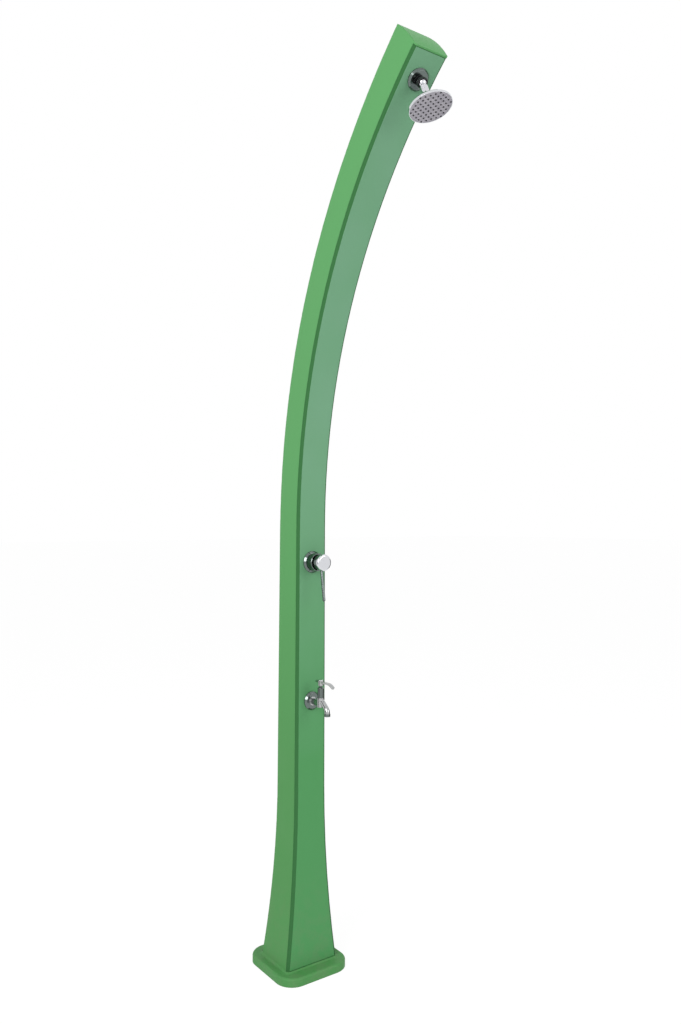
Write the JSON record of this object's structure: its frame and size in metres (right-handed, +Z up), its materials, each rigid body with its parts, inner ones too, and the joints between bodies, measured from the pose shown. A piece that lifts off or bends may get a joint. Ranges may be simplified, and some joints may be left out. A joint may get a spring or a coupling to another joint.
{
  "type": "outdoor shower post",
  "caption": "Green plastic shower column with a curved top, flared bolt-down foot and a green front panel, with lever mixer, foot-wash tap and swivelling head.",
  "frame": {"origin": "centre of the four ground anchor holes, at ground level under the straight part of the column", "axes": "+Z up along the straight column, -Y to the front, the way the column bends and the head points, +X to the bather's right as seen from the front"},
  "size_m": [0.1854, 0.663, 2.2042],
  "materials": {
    "column_plastic": "satin green moulded plastic",
    "panel_plastic": "satin paler green moulded plastic",
    "seal_plastic": "dark green soft trim strip",
    "black_plastic": "glossy black moulded plastic",
    "galvanised_steel": "dull zinc-coated steel",
    "screw_steel": "plain stainless steel",
    "brass": "turned brass",
    "black_rubber": "plain black rubber",
    "chrome": "polished chrome plate on brass",
    "chromed_plastic": "bright chrome plate on plastic",
    "white_plastic": "plain white engineering plastic",
    "hose_braid": "woven steel braid over rubber",
    "spray_grey": "satin grey plastic",
    "nozzle_rubber": "soft dark rubber"
  },
  "bodies": {
    "post": {"column_shell": "column_plastic", "panel_seal": "seal_plastic", "front_panel": "panel_plastic", "ground_plate": "galvanised_steel", "foot_screws": "screw_steel", "foot_screw_nuts": "screw_steel", "cold_inlet": "brass", "hot_inlet": "brass", "inlet_washers": "black_rubber", "inlet_nuts": "brass", "mixer_gasket": "black_rubber", "mixer_rosette": "chrome", "mixer_backnut": "brass", "mixer_body": "chrome", "mixer_cartridge": "white_plastic", "cartridge_nut": "chrome", "mixer_manifold": "brass", "tap_gasket": "black_rubber", "tap_rosette": "chrome", "tap_backnut": "brass", "tap_body": "chrome", "tap_spout_tip": "chrome", "tap_tee": "brass", "tap_bonnet": "chrome", "head_gasket": "black_rubber", "head_rosette": "chrome", "head_backnut": "brass", "head_stub": "black_plastic", "head_elbow": "brass", "cold_hose": "hose_braid", "cold_link": "hose_braid", "hot_hose": "hose_braid", "riser_hose": "hose_braid", "hose_nuts": "brass"},
    "mixer_dome": {"cartridge_dome": "chrome"},
    "mixer_control": {"cartridge_stem": "chrome", "mixer_sleeve": "chrome", "mixer_lever": "chrome", "mixer_cap": "chrome"},
    "tap_lever": {"tap_spindle": "chrome", "tap_handle": "chrome", "tap_handle_cap": "chrome"},
    "head_seat": {"head_ball_seat": "white_plastic"},
    "head": {"head_ball": "chrome", "head_collar": "chromed_plastic", "head_shell": "chromed_plastic", "spray_plate": "spray_grey", "spray_nozzles": "nozzle_rubber"}
  },
  "joints": [
    {"name": "mixer_swing", "type": "hinge", "parent": "post", "child": "mixer_dome", "pos_m": [0, -0.08045, 0.958], "axis": [0, -1, 0], "range_deg": [-45, 45]},
    {"name": "mixer_flow", "type": "hinge", "parent": "mixer_dome", "child": "mixer_control", "pos_m": [0, -0.08045, 0.958], "axis": [-1, 0, 0], "range_deg": [0, 20]},
    {"name": "tap_turn", "type": "hinge", "parent": "post", "child": "tap_lever", "pos_m": [0, -0.09195, 0.6195], "axis": [0, 0, 1], "range_deg": [0, 90]},
    {"name": "head_tilt", "type": "hinge", "parent": "post", "child": "head_seat", "pos_m": [0, -0.49683, 2.05872], "axis": [-1, 0, 0], "range_deg": [-5, 58]},
    {"name": "head_roll", "type": "hinge", "parent": "head_seat", "child": "head", "pos_m": [0, -0.49683, 2.05872], "axis": [0, -0.9489, 0.3156], "range_deg": [-20, 12]}
  ]
}
